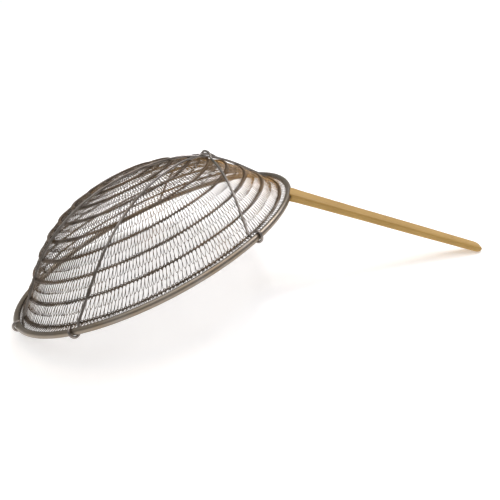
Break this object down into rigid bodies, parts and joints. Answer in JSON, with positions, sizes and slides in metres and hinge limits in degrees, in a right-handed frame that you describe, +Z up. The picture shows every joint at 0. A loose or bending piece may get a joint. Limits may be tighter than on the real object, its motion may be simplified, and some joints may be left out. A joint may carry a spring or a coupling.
{
  "type": "wire mesh skimmer",
  "caption": "Wide domed wire-mesh skimmer with a rolled steel rim, round hoops, crossing brace wires and a flat wooden handle, for lifting food or debris out of liquid.",
  "frame": {"origin": "on the surface that the skimmer lies on, under the middle of its bounding box", "axes": "+Z up from that surface, +X along the skimmer towards the tip of the handle; the bowl lies mouth down, tilted about Y so that the rim's far edge and the handle's tip touch the surface"},
  "size_m": [0.5348, 0.3478, 0.1385],
  "materials": {
    "rim_steel": "worn satin polish, grey-brown",
    "mesh_steel": "fine drawn wire, dull with brassy reflections",
    "hoop_steel": "dark drawn wire",
    "brace_steel": "smooth drawn wire with narrow highlights",
    "handle_wood": "pale planed wood or bamboo, unvarnished",
    "tang_steel": "plain mild steel"
  },
  "bodies": {
    "root": {"rim_tube": "rim_steel", "edge_wire": "mesh_steel", "mesh_bowl": "mesh_steel", "hoop_1": "hoop_steel", "hoop_2": "hoop_steel", "hoop_3": "hoop_steel", "hoop_4": "hoop_steel", "hoop_5": "hoop_steel", "hoop_6": "hoop_steel", "hoop_7": "hoop_steel", "hoop_8": "hoop_steel", "hoop_9": "hoop_steel", "brace_wire_lower": "brace_steel", "brace_wire_middle": "brace_steel", "brace_wire_upper": "brace_steel", "handle": "handle_wood", "handle_tang": "tang_steel", "tang_pin": "tang_steel"}
  },
  "joints": []
}
